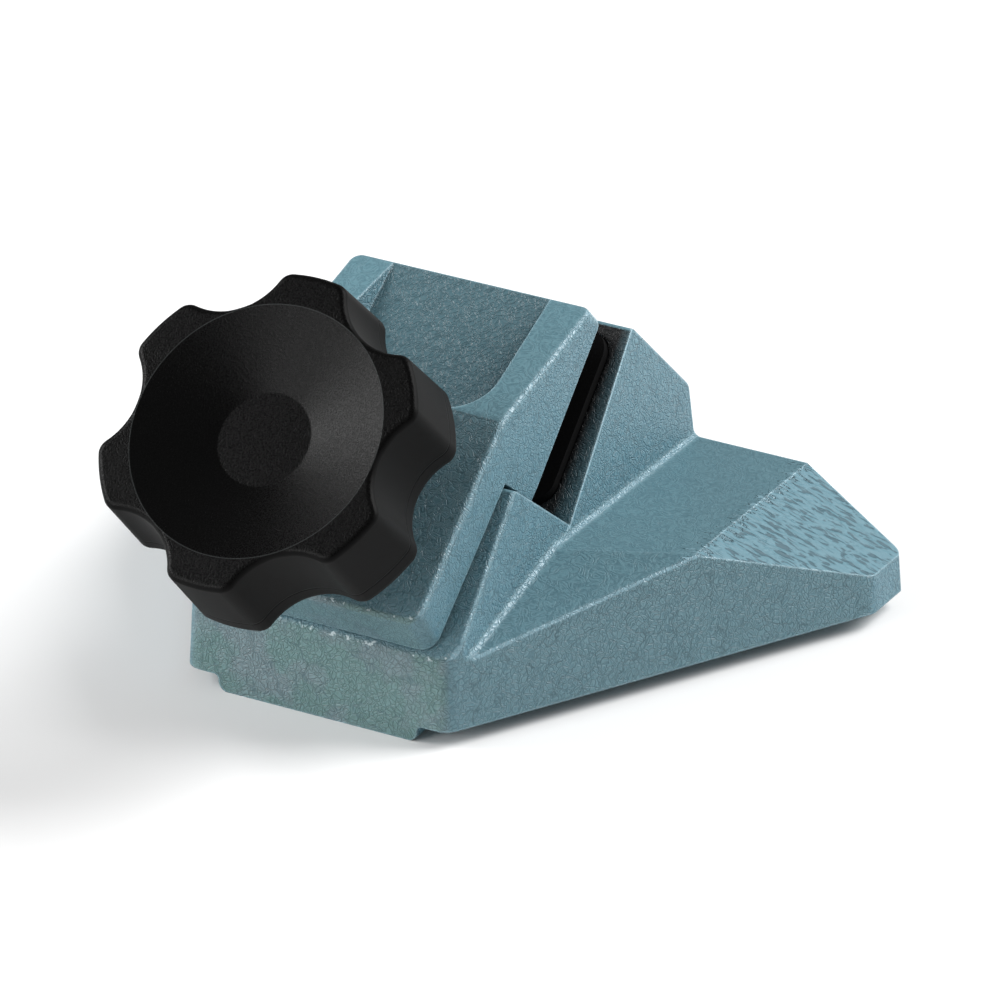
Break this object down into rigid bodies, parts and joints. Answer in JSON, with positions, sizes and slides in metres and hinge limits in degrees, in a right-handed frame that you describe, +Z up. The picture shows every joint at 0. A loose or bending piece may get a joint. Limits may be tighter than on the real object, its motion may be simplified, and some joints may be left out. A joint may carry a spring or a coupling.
{
  "type": "micrometer stand",
  "caption": "Bench stand with a fan-shaped base and a slanted screw clamp that holds a micrometer by its frame; a star knob moves the jaw.",
  "frame": {"origin": "on the floor, under the middle of the front foot bar, on the centre plane", "axes": "+X from the knob to the rear, +Y across the stand, +Z up"},
  "size_m": [0.1385, 0.1488, 0.0899],
  "materials": {
    "hammertone_paint": "blue-grey hammered enamel, satin gloss",
    "black_rubber": "matt",
    "plated_steel": "zinc plated",
    "spring_steel": "bright drawn wire",
    "brass": "turned",
    "black_plastic": "fine grain on the face, satin on the sides"
  },
  "bodies": {
    "base": {"base_casting": "hammertone_paint", "block_pad": "black_rubber", "return_spring": "spring_steel"},
    "jaw": {"clamp_jaw": "hammertone_paint", "jaw_pad": "black_rubber", "thrust_washer": "plated_steel"},
    "knob": {"knob": "black_plastic", "knob_bush": "brass", "clamp_stud": "plated_steel"}
  },
  "joints": [
    {"name": "jaw_slide", "type": "slide", "parent": "base", "child": "jaw", "axis": [-0.7071, 0, 0.7071], "range_m": [-0.0008, 0.01], "deforming": ["return_spring"]},
    {"name": "knob_turn", "type": "hinge", "parent": "jaw", "child": "knob", "pos_m": [-0.00864, 0, 0.05328], "axis": [-0.7071, 0, 0.7071], "range_deg": [-192, 2400]}
  ],
  "couplings": [
    {"joint": "jaw_slide", "follows": "knob_turn", "m_per_rad": 0.00023873}
  ]
}
